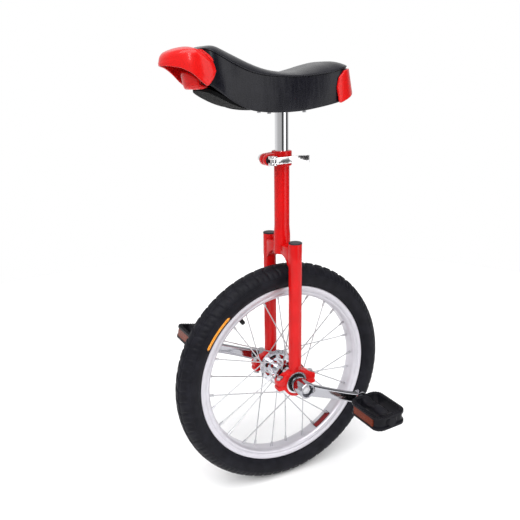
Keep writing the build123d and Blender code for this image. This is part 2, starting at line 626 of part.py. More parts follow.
def make_quick_release():
    eye_half = 2.6
    with BuildPart() as skewer:
        rod((SKEWER_X, -22, SKEWER_Z), (SKEWER_X, CAM_Y, SKEWER_Z), 2.5)
        with BuildSketch(Plane.XY.offset(SKEWER_Z - eye_half)):
            with Locations((SKEWER_X, CAM_Y)):
                Circle(4.5)
        extrude(amount=2 * eye_half)
        rod((SKEWER_X, CAM_Y, SKEWER_Z - 5), (SKEWER_X, CAM_Y, SKEWER_Z + 5), 2.2, Mode.SUBTRACT)
    save(skewer, "clamp_skewer")

    with BuildPart() as pin:
        rod((SKEWER_X, CAM_Y, SKEWER_Z - CAM_HEIGHT / 2), (SKEWER_X, CAM_Y, SKEWER_Z + CAM_HEIGHT / 2), 2.2)
    save(pin, "cam_pin")

    with BuildPart() as washer:
        rod((SKEWER_X, CLAMP_EAR_Y, SKEWER_Z), (SKEWER_X, CLAMP_EAR_Y + 1.6, SKEWER_Z), 7.5)
        rod((SKEWER_X, 5, SKEWER_Z), (SKEWER_X, 15, SKEWER_Z), 2.7, Mode.SUBTRACT)
    save(washer, "cam_washer")

    with BuildPart() as end_nut:
        rod((SKEWER_X, -CLAMP_EAR_Y, SKEWER_Z), (SKEWER_X, -CLAMP_EAR_Y - 11, SKEWER_Z), 7.5)
        fillet(end_nut.edges().filter_by(GeomType.CIRCLE).sort_by(Axis.Y)[0], 3)
        rod((SKEWER_X, -30, SKEWER_Z), (SKEWER_X, 0, SKEWER_Z), 2.52, Mode.SUBTRACT)
    save(end_nut, "clamp_nut")

    tip_x = SKEWER_X - LEVER_LENGTH
    with BuildPart() as lever:
        with BuildSketch(Plane.XY.offset(SKEWER_Z - CAM_HEIGHT / 2)):
            with Locations((SKEWER_X, CAM_Y)):
                Circle(CAM_R)
        extrude(amount=CAM_HEIGHT)
        fillet(lever.edges().filter_by(GeomType.CIRCLE), 1)
        with BuildSketch(Plane.XY.offset(SKEWER_Z - 5.5)):
            with BuildLine():
                Spline((SKEWER_X + 1, CAM_Y + 7.2), (10, CAM_Y + 5.8), (-8, CAM_Y + 3.6), (-24, CAM_Y + 5.5),
                       (tip_x, CAM_Y + 9))
                Line((tip_x, CAM_Y + 9), (tip_x, CAM_Y + 5))
                Spline((tip_x, CAM_Y + 5), (-24, CAM_Y + 1.2), (-8, CAM_Y - 0.8), (10, CAM_Y + 0.5),
                       (SKEWER_X - 4, CAM_Y - 1))
                Line((SKEWER_X - 4, CAM_Y - 1), (SKEWER_X + 1, CAM_Y + 7.2))
            make_face()
        extrude(amount=11)
        fillet(lever.edges().filter_by(Axis.Z).group_by(Axis.X)[0], 1.5)
        with BuildSketch(Plane.XY.offset(SKEWER_Z - eye_half - 0.4)):
            with Locations((SKEWER_X, CAM_Y)):
                Circle(4.9)
            with Locations((SKEWER_X + 3.5, CAM_Y)):
                Rectangle(13, 20)
        extrude(amount=2 * eye_half + 0.8, mode=Mode.SUBTRACT)
        rod((SKEWER_X, CAM_Y, SKEWER_Z - 10), (SKEWER_X, CAM_Y, SKEWER_Z + 10), 2.25, Mode.SUBTRACT)
    save(lever, "quick_release_lever")


# ---------------------------------------------------------------- saddle
def raised(curve, height):
    return [(x, z + height) for x, z in curve]


def plan_face(inset=0.0, mode=Mode.ADD):
    """Closed outline of the saddle seen from above, pulled in towards its middle."""
    middle = (NOSE_X + TAIL_X) / 2
    along = 1 - inset / (NOSE_X - middle)
    across = 1 - inset / max(y for _, y in PLAN)
    half = [(middle + (x - middle) * along, y * across) for x, y in PLAN]
    with BuildLine() as outline:
        Spline(*half, *[(x, -y) for x, y in reversed(half[1:-1])], periodic=True)
    make_face(outline.edges(), mode=mode)


def between(lower, upper):
    """Side view outline between two curves, given from the front to the back."""
    with BuildLine() as outline:
        low = Spline(*lower)
        high = Spline(*upper)
        Line(low @ 0, high @ 0)
        Line(low @ 1, high @ 1)
    make_face(outline.edges())


def make_pad():
    bed = raised(BASE_DROP, BASE_T)
    with BuildPart() as pad:
        with BuildSketch(Plane.XY.offset(640)):
            plan_face()
        extrude(amount=140)
        with BuildSketch(SIDE_VIEW):
            between(SKIRT, TOP)
        extrude(amount=180, mode=Mode.INTERSECT)
        with BuildPart(mode=Mode.PRIVATE) as hollow:
            with BuildSketch(Plane.XY.offset(600)):
                plan_face(5)
            extrude(amount=180)
            with BuildSketch(SIDE_VIEW):
                between([(200, 600), (-200, 600)], bed)
            extrude(amount=180, mode=Mode.INTERSECT)
        add(hollow.part, mode=Mode.SUBTRACT)
    save(pad, "saddle_pad")


def make_base():
    with BuildPart() as base:
        with BuildSketch(Plane.XY.offset(600)):
            plan_face(5)
        extrude(amount=180)
        with BuildSketch(SIDE_VIEW):
            between(BASE_DROP, raised(BASE_DROP, BASE_T))
        extrude(amount=180, mode=Mode.INTERSECT)
        with BuildSketch(Plane.XY.offset(PLATE_BOTTOM + PLATE_T)):
            Rectangle(2 * SADDLE_BOLT_X + 24, 2 * SADDLE_BOLT_Y + 24)
        extrude(amount=-20, mode=Mode.SUBTRACT)
        with BuildSketch(Plane.XY.offset(PLATE_BOTTOM)):
            with GridLocations(2 * SADDLE_BOLT_X, 2 * SADDLE_BOLT_Y, 2, 2):
                Circle(SADDLE_BOLT_R + 0.02)
        extrude(amount=PLATE_T + STUD_GRIP, mode=Mode.SUBTRACT)
    save(base, "saddle_base")


def make_seat_post():
    """Chromed tube with the plate that the saddle base is bolted to."""
    with BuildPart() as seat_post:
        with BuildSketch(Plane.XY.offset(POST_BOTTOM)):
            Circle(POST_R)
            Circle(POST_R - POST_WALL, mode=Mode.SUBTRACT)
        extrude(amount=PLATE_BOTTOM - POST_BOTTOM)
        with BuildSketch(Plane.XY.offset(PLATE_BOTTOM)):
            RectangleRounded(2 * SADDLE_BOLT_X + 20, 2 * SADDLE_BOLT_Y + 20, 8)
            with GridLocations(2 * SADDLE_BOLT_X, 2 * SADDLE_BOLT_Y, 2, 2):
                Circle(SADDLE_BOLT_R + 0.3, mode=Mode.SUBTRACT)
        extrude(amount=PLATE_T)
    save(seat_post, "seat_post")


def make_saddle_fasteners():
    """Studs moulded into the saddle base and their nuts under the plate."""
    with BuildPart() as studs:
        with BuildSketch(Plane.XY.offset(PLATE_BOTTOM - 9)):
            with GridLocations(2 * SADDLE_BOLT_X, 2 * SADDLE_BOLT_Y, 2, 2):
                Circle(SADDLE_BOLT_R)
        extrude(amount=9 + PLATE_T + STUD_GRIP - 0.02)
    save(studs, "saddle_studs")
    with BuildPart() as nuts:
        with BuildSketch(Plane.XY.offset(PLATE_BOTTOM - 5.02)):
            with GridLocations(2 * SADDLE_BOLT_X, 2 * SADDLE_BOLT_Y, 2, 2):
                RegularPolygon(5, 6, major_radius=False)
                Circle(SADDLE_BOLT_R + 0.02, mode=Mode.SUBTRACT)
        extrude(amount=5)
    save(nuts, "saddle_nuts")


def handle_plan(inset=0.0):
    """Plan of the front handle: two cheeks joined by a round front."""
    half = [(x - inset, y * (1 - inset / HANDLE_PLAN[0][1])) for x, y in HANDLE_PLAN]
    with BuildLine() as outline:
        band = Spline(*half, *[(x, -y) for x, y in reversed(half[:-1])])
        Line(band @ 1, band @ 0)
    make_face(outline.edges())


def make_front_handle():
    """Lifting handle: a hood open underneath, made as a roof and a wall all round."""
    with BuildPart() as front_handle:
        with BuildSketch(Plane.XY.offset(680)):
            handle_plan()
            plan_face(mode=Mode.SUBTRACT)
        extrude(amount=100)
        with BuildSketch(SIDE_VIEW):
            with BuildLine():
                top = Spline(*HANDLE_TOP)
                Polyline(top @ 0, (134, 714), (146, 700.5), (168, 718.5), (181, 726), (203, 729.5), top @ 1)
            make_face()
        extrude(amount=180, mode=Mode.INTERSECT)
        with BuildPart(mode=Mode.PRIVATE) as hollow:
            with BuildSketch(Plane.XY.offset(680)):
                handle_plan(HANDLE_WALL)
            extrude(amount=100)
            with BuildSketch(SIDE_VIEW):
                with BuildLine():
                    roof = Spline(*raised(HANDLE_TOP, -HANDLE_WALL))
                    Polyline(roof @ 0, (110, 724), (110, 690), (210, 690), roof @ 1)
                make_face()
            extrude(amount=180, mode=Mode.INTERSECT)
        add(hollow.part, mode=Mode.SUBTRACT)
    save(front_handle, "front_handle")


def make_rear_bumper():
    with BuildPart() as rear_bumper:
        with BuildSketch(Plane.XY.offset(660)):
            plan_face(-BUMPER_T)
            plan_face(mode=Mode.SUBTRACT)
        extrude(amount=80)
        with BuildSketch(SIDE_VIEW):
            with BuildLine():
                Polyline(*BUMPER_SIDE, BUMPER_SIDE[0])
            make_face()
            fillet(vertices().sort_by(Axis.X)[-3:], 3)
        extrude(amount=180, mode=Mode.INTERSECT)
    save(rear_bumper, "rear_bumper")


make_tyre()
make_inner_tube()
make_rim()
make_rim_tape()
make_valve()
make_nipples()
make_hub_shell()
make_axle()
make_crank_nuts()
make_holder_fasteners()
make_main_tube()
make_clamp()
make_quick_release()
for side_name, side_sign in SIDES.items():
    make_spokes(side_name, side_sign)
    make_bearing(side_name, side_sign)
    make_crank(side_name, side_sign)
    make_pedal_spindle(side_name, side_sign)
    make_pedal(side_name, side_sign)
    make_holder(side_name, side_sign)
    make_leg(side_name, side_sign)
    make_crown(side_name, side_sign)
make_pad()
make_base()
make_seat_post()
make_saddle_fasteners()
make_front_handle()
make_rear_bumper()
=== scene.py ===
"""Looks of the unicycle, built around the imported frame. Metres, +X forward, +Y rider's left."""

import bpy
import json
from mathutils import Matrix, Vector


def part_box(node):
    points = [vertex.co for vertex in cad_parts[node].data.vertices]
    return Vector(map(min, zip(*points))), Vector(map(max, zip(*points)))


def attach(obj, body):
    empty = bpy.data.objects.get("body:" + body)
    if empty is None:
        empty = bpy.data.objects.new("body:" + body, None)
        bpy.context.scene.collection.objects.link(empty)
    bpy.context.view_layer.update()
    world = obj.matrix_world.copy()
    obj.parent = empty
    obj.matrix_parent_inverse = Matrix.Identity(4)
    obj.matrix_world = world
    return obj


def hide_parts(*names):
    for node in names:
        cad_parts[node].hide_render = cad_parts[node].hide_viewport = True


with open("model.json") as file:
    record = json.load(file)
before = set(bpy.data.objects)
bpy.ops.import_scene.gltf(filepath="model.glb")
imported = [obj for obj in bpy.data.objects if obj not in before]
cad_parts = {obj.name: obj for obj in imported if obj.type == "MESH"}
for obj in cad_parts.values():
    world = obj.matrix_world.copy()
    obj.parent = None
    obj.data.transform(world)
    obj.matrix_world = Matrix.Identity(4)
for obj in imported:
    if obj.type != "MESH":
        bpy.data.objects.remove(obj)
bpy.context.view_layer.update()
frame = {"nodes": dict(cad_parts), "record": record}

import json
import math

import bmesh
import bpy
from mathutils import Matrix, Vector

MM = 0.001
WELD = 0.01 * MM                    # points nearer than this are joined
NODES = frame["nodes"]
AXLE_Z = sum(c.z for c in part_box("axle")) / 2
WHEEL_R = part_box("tyre")[1].z - AXLE_Z
RIM_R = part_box("rim")[1].z - AXLE_Z
RIM_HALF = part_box("rim")[1].y
RIM_EDGE = RIM_R + 2.8 * MM         # rolled edge of the flange, against the tyre
RIM_BED = RIM_R - 15.4 * MM         # inner face, where the spokes enter


# ---------------------------------------------------------------- shader helper
class Shader:
    """A Principled material, with short calls for the procedural parts."""

    def __init__(self, name, color, roughness, metallic=0.0, coat=0.0, coat_roughness=0.05,
                 specular=0.5):
        self.material = bpy.data.materials.new(name)
        self.material.use_nodes = True
        self.tree = self.material.node_tree
        self.bsdf = self.tree.nodes["Principled BSDF"]
        self.color = color
        self.roughness = roughness
        self.bsdf.inputs["Base Color"].default_value = (*color, 1)
        self.bsdf.inputs["Roughness"].default_value = roughness
        self.bsdf.inputs["Metallic"].default_value = metallic
        self.bsdf.inputs["Coat Weight"].default_value = coat
        self.bsdf.inputs["Coat Roughness"].default_value = coat_roughness
        self.bsdf.inputs["Specular IOR Level"].default_value = specular
        self.coords = self.add("ShaderNodeTexCoord")
        self.height = None

    def add(self, kind, **values):
        node = self.tree.nodes.new(kind)
        for key, value in values.items():
            setattr(node, key, value)
        return node

    def link(self, source, target):
        self.tree.links.new(source, target)

    def noise(self, scale, detail, stretch=None):
        """Noise in object space; stretch scales it along each axis."""
        node = self.add("ShaderNodeTexNoise")
        node.inputs["Scale"].default_value = scale
        node.inputs["Detail"].default_value = detail
        source = self.coords.outputs["Object"]
        if stretch:
            mapping = self.add("ShaderNodeMapping")
            mapping.inputs["Scale"].default_value = stretch
            self.link(source, mapping.inputs["Vector"])
            source = mapping.outputs["Vector"]
        self.link(source, node.inputs["Vector"])
        return node.outputs["Fac"]

    def cells(self, scale, feature="DISTANCE_TO_EDGE"):
        """Cell pattern in object space."""
        node = self.add("ShaderNodeTexVoronoi", feature=feature)
        node.inputs["Scale"].default_value = scale
        self.link(self.coords.outputs["Object"], node.inputs["Vector"])
        return node.outputs["Distance"]

    def ramp(self, source, low, high):
        """Maps a 0 to 1 source onto a number range."""
        node = self.add("ShaderNodeMapRange")
        node.inputs["To Min"].default_value = low
        node.inputs["To Max"].default_value = high
        self.link(source, node.inputs["Value"])
        return node.outputs["Result"]

    def vary_roughness(self, source, spread):
        """Lets the roughness wander by a spread either way."""
        self.link(self.ramp(source, max(0.02, self.roughness - spread), self.roughness + spread),
                  self.bsdf.inputs["Roughness"])

    def vary_color(self, source, other, low=0.4, high=0.6):
        """Blends the base colour with another by a source, between two thresholds."""
        mask = self.add("ShaderNodeMapRange")
        mask.inputs["From Min"].default_value = low
        mask.inputs["From Max"].default_value = high
        self.link(source, mask.inputs["Value"])
        mix = self.add("ShaderNodeMix", data_type="RGBA")
        mix.inputs["A"].default_value = (*self.color, 1)
        mix.inputs["B"].default_value = (*other, 1)
        self.link(mask.outputs["Result"], mix.inputs["Factor"])
        self.link(mix.outputs["Result"], self.bsdf.inputs["Base Color"])

    def bump(self, source, distance, strength):
        """Adds a bump on top of the ones before it."""
        node = self.add("ShaderNodeBump")
        node.inputs["Distance"].default_value = distance
        node.inputs["Strength"].default_value = strength
        self.link(source, node.inputs["Height"])
        if self.height:
            self.link(self.height, node.inputs["Normal"])
        self.height = node.outputs["Normal"]
        self.link(self.height, self.bsdf.inputs["Normal"])


# ---------------------------------------------------------------- materials
def red_paint():
    s = Shader("red_paint", (0.6, 0.0035, 0.004), 0.34, specular=0.12, coat=0.3, coat_roughness=0.03)
    s.vary_color(s.noise(35, 3), (0.5, 0.0025, 0.003), 0.3, 0.8)
    s.vary_roughness(s.noise(90, 5), 0.05)
    s.bump(s.noise(260, 2), 0.00004, 0.1)
    return s.material


def red_plastic():
    s = Shader("red_plastic", (0.68, 0.006, 0.005), 0.3, specular=0.25, coat=0.25, coat_roughness=0.06)
    s.vary_color(s.noise(20, 3), (0.58, 0.004, 0.004), 0.3, 0.8)
    s.vary_roughness(s.noise(160, 4), 0.06)
    s.bump(s.noise(1500, 2), 0.00006, 0.3)
    return s.material


def chrome(name="chrome", color=(0.86, 0.86, 0.88), roughness=0.09):
    s = Shader(name, color, roughness, metallic=1.0)
    s.vary_roughness(s.noise(240, 6, stretch=(1, 1, 0.2)), 0.05)
    s.bump(s.noise(2600, 2, stretch=(1, 1, 0.15)), 0.00002, 0.12)
    return s.material


def zinc():
    s = Shader("zinc_steel", (0.58, 0.58, 0.6), 0.34, metallic=1.0)
    s.vary_color(s.noise(180, 5), (0.42, 0.42, 0.45), 0.4, 0.75)
    s.vary_roughness(s.noise(300, 5), 0.1)
    return s.material


def spoke_steel():
    s = Shader("spoke_steel", (0.52, 0.52, 0.54), 0.3, metallic=1.0)
    s.vary_roughness(s.noise(300, 5), 0.1)
    s.bump(s.noise(3000, 2), 0.00003, 0.2)
    return s.material


def alloy(name, color, roughness, metallic, grain=(1, 12, 1)):
    s = Shader(name, color, roughness, metallic=metallic)
    s.vary_color(s.noise(60, 4), tuple(c * 0.9 for c in color), 0.4, 0.8)
    s.vary_roughness(s.noise(260, 6, stretch=grain), 0.09)
    s.bump(s.noise(1800, 3, stretch=grain), 0.00003, 0.25)
    return s.material


def rubber():
    s = Shader("tyre_rubber", (0.006, 0.006, 0.0085), 0.5, specular=0.1)
    s.vary_color(s.noise(70, 6), (0.013, 0.013, 0.018), 0.35, 0.8)
    s.vary_roughness(s.noise(210, 5), 0.12)
    s.bump(s.noise(1300, 5), 0.00018, 0.5)
    return s.material


def vinyl():
    s = Shader("saddle_vinyl", (0.003, 0.003, 0.0062), 0.26, specular=0.3)
    s.vary_color(s.noise(28, 5), (0.0085, 0.0085, 0.013), 0.35, 0.75)
    s.vary_roughness(s.noise(120, 5), 0.07)
    s.bump(s.noise(38, 3, stretch=(1.6, 1, 0.3)), 0.0016, 0.35)
    s.bump(s.cells(900), 0.00012, 0.4)
    s.bump(s.noise(2600, 3), 0.00006, 0.3)
    return s.material


def matte_plastic(name, color, roughness, grain=1500, depth=0.0001):
    s = Shader(name, color, roughness, specular=0.1)
    s.vary_color(s.noise(50, 5), tuple(c * 1.9 for c in color), 0.4, 0.8)
    s.vary_roughness(s.noise(200, 5), 0.1)
    s.bump(s.cells(grain, "F1"), depth, 0.6)
    return s.material


def reflector():
    s = Shader("reflector_amber", (0.07, 0.009, 0.003), 0.3, specular=0.12, coat=0.08)
    s.vary_color(s.cells(420, "F1"), (0.17, 0.028, 0.008), 0.1, 0.7)
    s.bump(s.cells(420, "F1"), 0.0006, 0.8)
    return s.material


def label(name, color, other):
    s = Shader(name, color, 0.4, specular=0.15, coat=0.08)
    s.vary_color(s.noise(500, 4), other, 0.52, 0.6)
    s.vary_roughness(s.noise(300, 4), 0.1)
    s.bump(s.noise(900, 2), 0.00004, 0.3)
    return s.material


MAT = {
    "frame_paint": red_paint(),
    "red_plastic": red_plastic(),
    "post_chrome": chrome(),
    "clamp_chrome": chrome("clamp_chrome", (0.84, 0.83, 0.84), 0.14),
    # painted shade: the cranks get a darker copy of the chrome, which stands in for the dark reflection along
    # the crank arms
    "crank_chrome": chrome("crank_chrome", (0.4, 0.4, 0.43), 0.1),
    "fastener_steel": zinc(),
    "bearing_steel": alloy("bearing_steel", (0.6, 0.6, 0.62), 0.25, 1.0),
    "bearing_seal": matte_plastic("bearing_seal", (0.012, 0.012, 0.012), 0.5),
    "spoke_steel": spoke_steel(),
    "hub_alloy": alloy("hub_alloy", (0.66, 0.66, 0.7), 0.16, 1.0),
    "rim_alloy": alloy("rim_alloy", (0.6, 0.585, 0.63), 0.34, 0.55),
    "tyre_rubber": rubber(),
    "tube_rubber": matte_plastic("tube_rubber", (0.014, 0.014, 0.015), 0.5),
    "saddle_vinyl": vinyl(),
    "base_plastic": matte_plastic("base_plastic", (0.0012, 0.0012, 0.0015), 0.75),
    "pedal_plastic": matte_plastic("pedal_plastic", (0.006, 0.006, 0.008), 0.36, 1100, 0.00016),
    "end_plug": matte_plastic("end_plug", (0.02, 0.02, 0.024), 0.4),
    "reflector_amber": reflector(),
}
TYRE_LABEL = label("tyre_label", (0.9, 0.3, 0.015), (0.95, 0.5, 0.1))
TYRE_LABEL_EDGE = label("tyre_label_edge", (0.015, 0.012, 0.012), (0.03, 0.02, 0.02))
RIM_LABEL = label("rim_label", (0.2, 0.01, 0.013), (0.07, 0.008, 0.01))


def paint_frame():
    """Gives every carried-over node its material, from the record's slots."""
    slots = {p["node"]: p["material_slot"] for p in frame["record"]["subparts"]}
    for name, node in NODES.items():
        node.data.materials.clear()
        node.data.materials.append(MAT[slots[name]])


# ---------------------------------------------------------------- mesh helpers
def new_piece(name, vertices, faces, material, body, smooth=True):
    mesh = bpy.data.meshes.new(name)
    mesh.from_pydata([tuple(v) for v in vertices], [], faces)
    mesh.validate()
    bm = bmesh.new()
    bm.from_mesh(mesh)
    bmesh.ops.remove_doubles(bm, verts=bm.verts, dist=WELD)
    bmesh.ops.recalc_face_normals(bm, faces=bm.faces)
    bm.to_mesh(mesh)
    bm.free()
    piece = bpy.data.objects.new(name, mesh)
    bpy.context.collection.objects.link(piece)
    mesh.materials.append(material)
    for polygon in mesh.polygons:
        polygon.use_smooth = smooth
    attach(piece, body)
    return piece


def grid_faces(rows, columns, closed_rows=False, closed_columns=False):
    """Quads of a rows by columns grid of points, stored row after row."""
    faces = []
    for i in range(rows if closed_rows else rows - 1):
        for j in range(columns if closed_columns else columns - 1):
            a, b = i * columns, (i + 1) % rows * columns
            k = (j + 1) % columns
            faces.append((a + j, a + k, b + k, b + j))
    return faces


def smoothstep(low, high, value):
    t = min(1.0, max(0.0, (value - low) / (high - low)))
    return t * t * (3 - 2 * t)


def curve_at(points, x):
    """Smooth interpolation through points sorted by x, in either direction."""
    points = sorted(points)
    if x <= points[0][0]:
        return points[0][1]
    for i, ((x0, y0), (x1, y1)) in enumerate(zip(points, points[1:])):
        if x <= x1:
            before = points[max(0, i - 1)]
            after = points[min(len(points) - 1, i + 2)]
            m0 = (y1 - before[1]) / (x1 - before[0])
            m1 = (after[1] - y0) / (after[0] - x0)
            h = x1 - x0
            t = (x - x0) / h
            return ((2 * t ** 3 - 3 * t ** 2 + 1) * y0 + (t ** 3 - 2 * t ** 2 + t) * h * m0
                    + (3 * t ** 2 - 2 * t ** 3) * y1 + (t ** 3 - t ** 2) * h * m1)
    return points[-1][1]


def wheel_spot(radius, angle, y):
    return Vector((radius * math.cos(angle), y, AXLE_Z + radius * math.sin(angle)))


def lathe(name, profile, steps, material, body, relief=None):
    """Ring about the axle from a closed profile of (radius, y), in metres."""
    vertices = []
    for i in range(steps):
        angle = 2 * math.pi * i / steps
        for j, (radius, y) in enumerate(profile):
            lift = relief(angle, j) if relief else 0.0
            vertices.append(wheel_spot(radius + lift, angle, y))
    faces = grid_faces(steps, len(profile), True, True)
    return new_piece(name, vertices, faces, material, body)


# ---------------------------------------------------------------- tyre
def circle(start, middle, end):
    """Centre and radius of the circle through three points."""
    (ax, ay), (bx, by), (cx, cy) = start, middle, end
    d = 2 * (ax * (by - cy) + bx * (cy - ay) + cx * (ay - by))
    a2, b2, c2 = ax * ax + ay * ay, bx * bx + by * by, cx * cx + cy * cy
    ux = (a2 * (by - cy) + b2 * (cy - ay) + c2 * (ay - by)) / d
    uy = (a2 * (cx - bx) + b2 * (ax - cx) + c2 * (bx - ax)) / d
    return ux, uy, math.hypot(ax - ux, ay - uy)


def arc(start, middle, end, count):
    """Points on the circle through three points, without the last one."""
    ux, uy, radius = circle(start, middle, end)
    first = math.atan2(start[1] - uy, start[0] - ux)
    span = (math.atan2(end[1] - uy, end[0] - ux) - first + math.pi) % (2 * math.pi) - math.pi
    angles = [first + span * k / count for k in range(count)]
    return [(ux + radius * math.cos(a), uy + radius * math.sin(a)) for a in angles]


TYRE_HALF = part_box("tyre")[1].y
TREAD_EDGE = (WHEEL_R - 5.5 * MM, TYRE_HALF - 8 * MM)
# Three points, as (radius, y), of the side wall's arc.
WALL = ((RIM_EDGE + 0.2 * MM, 14.3 * MM), (WHEEL_R - 22 * MM, TYRE_HALF), TREAD_EDGE)
BEAD = (RIM_R - 6 * MM, 11.9 * MM)
RIM_CONTACT = (RIM_EDGE - 0.6 * MM, 12.4 * MM)
TREAD_BLOCKS = 63
TREAD_DEPTH = 1.5 * MM
TREAD_FADE = (WHEEL_R - 16 * MM, WHEEL_R - 11 * MM)
SHOULDER_R = WHEEL_R - 8 * MM
BLOCK_SLANT = 0.9                   # blocks that a groove leans over the tyre's half width
CENTRE_SHARE = 0.34                 # share of the half width under the centre blocks
CROSS_GROOVE = (0.72, 0.86)         # where a groove starts and is deepest, from a block's middle
WALL_GROOVE = (0.4, 0.75)
TYRE_STEPS = 20 * TREAD_BLOCKS
SIDEWALL_LINES = (RIM_EDGE + 2.2 * MM, WHEEL_R - 16.5 * MM)
LINE_SIDES = 8
LINE_STEPS = 180


def wall_y(radius):
    """Half width of the tyre's side wall at a radius."""
    ux, uy, wall_radius = circle(*WALL)
    return uy + math.sqrt(wall_radius ** 2 - (radius - ux) ** 2)


def from_block(turn):
    """How far a place is from a block's middle, 0, to the next block's edge, 1; turn counts blocks."""
    return abs(turn % 1.0 - 0.5) * 2


def make_tyre():
    """Carcass with a blocked tread: the grooves are cut into the crown and shoulders."""
    wall = arc(*WALL, 16)
    crown = arc(TREAD_EDGE, (WHEEL_R, 0), (TREAD_EDGE[0], -TREAD_EDGE[1]), 32)
    other = [(r, -y) for r, y in reversed(wall)]
    profile = [BEAD, RIM_CONTACT, *wall, *crown, (TREAD_EDGE[0], -TREAD_EDGE[1]), *other,
               (RIM_CONTACT[0], -RIM_CONTACT[1]), (BEAD[0], -BEAD[1])]

    def relief(angle, j):
        radius, y = profile[j]
        across = abs(y) / TYRE_HALF
        turn = angle * TREAD_BLOCKS / (2 * math.pi)
        slant = BLOCK_SLANT * y / TYRE_HALF
        if across < CENTRE_SHARE:
            groove = max(smoothstep(*CROSS_GROOVE, from_block(turn + slant)),
                         smoothstep(0.27, CENTRE_SHARE, across))
        elif radius > SHOULDER_R:
            groove = max(smoothstep(*CROSS_GROOVE, from_block(turn + 0.5 - slant * 0.6)),
                         1 - smoothstep(0.36, 0.43, across))
        else:
            groove = 0.7 * smoothstep(*WALL_GROOVE, from_block(turn * 2 - slant))
        return -TREAD_DEPTH * groove * smoothstep(*TREAD_FADE, radius)

    tyre = lathe("tyre_moulded", profile, TYRE_STEPS, MAT["tyre_rubber"], "wheel", relief)
    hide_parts("tyre")


def make_sidewall_rings():
    """Two thin moulded lines round each sidewall."""
    turns = [2 * math.pi * i / LINE_SIDES for i in range(LINE_SIDES)]
    for side, name in ((1, "left"), (-1, "right")):
        for k, radius in enumerate(SIDEWALL_LINES):
            y = wall_y(radius)
            loop = [(radius + 0.8 * MM * math.cos(a), side * (y + 0.4 * MM * math.sin(a))) for a in turns]
            lathe(f"tyre_line_{name}_{k}", loop, LINE_STEPS, MAT["tyre_rubber"], "wheel")


# ---------------------------------------------------------------- rim
RIM_STEPS = 240
FLANGE = [(-0.3, 1.6), (0.0, 0.9), (-0.5, 0.1), (-1.6, 0.0), (-9.4, 0.0), (-9.8, 0.5), (-10.4, 0.5),
          (-10.8, 0.0), (-12.6, 0.1), (-14.6, 0.8), (-16.4, 2.4)]  # mm from the rim's edge and from its side


def make_rim():
    """Rim with rolled flanges, a shallow groove in each side and a rounded spoke bed."""
    half = [(RIM_EDGE + r * MM, RIM_HALF - y * MM) for r, y in FLANGE]
    half += [(RIM_BED + 0.6 * MM, RIM_HALF - 4.6 * MM), (RIM_BED + 0.05 * MM, RIM_HALF - 7 * MM),
             (RIM_BED, RIM_HALF - 10 * MM)]
    inside = [(RIM_BED + 3 * MM, RIM_HALF - 6 * MM), (RIM_R - 9 * MM, RIM_HALF - 2 * MM)]
    profile = half + [(RIM_BED, 0)] + [(r, -y) for r, y in reversed(half)]
    profile += [(r, -y) for r, y in reversed(inside)] + inside
    rim = lathe("rim_extruded", profile, RIM_STEPS, MAT["rim_alloy"], "wheel")
    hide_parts("rim")


# ---------------------------------------------------------------- labels
PATCH_STEPS = 28
END_SHARE = 22                      # a patch narrows over the last part in this many, for round ends
LABEL_ROWS = 5
TYRE_LABEL_BAND = (8.6, 14.6)       # mm out from the rim
TYRE_LABEL_ARC = (28.5, 50)         # degrees up from +X
RIM_LABEL_BAND = (-1.6, 8.6)        # mm along y
RIM_LABEL_ARC = (228, 242)


def arc_patch(name, points, angles, material, body, thickness):
    """Thin closed patch that follows a profile of (radius, y) over a span of angles."""
    steps = PATCH_STEPS
    vertices = []
    for layer in (0.0, thickness):
        for i in range(steps + 1):
            angle = angles[0] + (angles[1] - angles[0]) * i / steps
            end = min(i, steps - i) / steps
            squeeze = math.sqrt(min(1.0, end * END_SHARE))
            middle = (points[0][0] + points[-1][0]) / 2
            for radius, y, out_r, out_y in points:
                r = middle + (radius - middle) * squeeze
                vertices.append(wheel_spot(r + out_r * layer, angle, y + out_y * layer))
    columns = len(points)
    half = (steps + 1) * columns
    top = [tuple(v + half for v in f) for f in grid_faces(steps + 1, columns)]
    faces = grid_faces(steps + 1, columns) + top
    for i in range(steps):
        for j in (0, columns - 1):
            a, b = i * columns + j, (i + 1) * columns + j
            faces.append((a, b, b + half, a + half))
    for i in (0, steps):
        for j in range(columns - 1):
            a = i * columns + j
            faces.append((a, a + 1, a + 1 + half, a + half))
    return new_piece(name, vertices, faces, material, body)


def widened(degrees, spread):
    """Both ends of an arc in radians, each moved outward by a spread in degrees."""
    return math.radians(degrees[0]) - math.radians(spread), math.radians(degrees[1]) + math.radians(spread)


def make_labels():
    """Plain coloured labels without any lettering."""
    parts = range(LABEL_ROWS)
    last = LABEL_ROWS - 1
    for name, grow, material, lift in (("tyre_label_edge", 0.9, TYRE_LABEL_EDGE, 0.35),
                                       ("tyre_label", 0.0, TYRE_LABEL, 0.55)):
        low, high = RIM_R + (TYRE_LABEL_BAND[0] - grow) * MM, RIM_R + (TYRE_LABEL_BAND[1] + grow) * MM
        radii = [low + (high - low) * k / last for k in parts]
        points = [(radius, wall_y(radius) - 0.1 * MM, -0.6, 0.8) for radius in radii]
        arc_patch(name, points, widened(TYRE_LABEL_ARC, 0.35 * grow), material, "wheel",
                  lift * MM)
    for name, grow, material, lift in (("rim_label_edge", 1.0, TYRE_LABEL_EDGE, 0.2),
                                       ("rim_label", 0.0, RIM_LABEL, 0.35)):
        low, high = (RIM_LABEL_BAND[0] - grow) * MM, (RIM_LABEL_BAND[1] + grow) * MM
        points = [(RIM_BED, high + (low - high) * k / last, -1, 0) for k in parts]
        arc_patch(name, points, widened(RIM_LABEL_ARC, 0.4 * grow), material, "wheel", lift * MM)


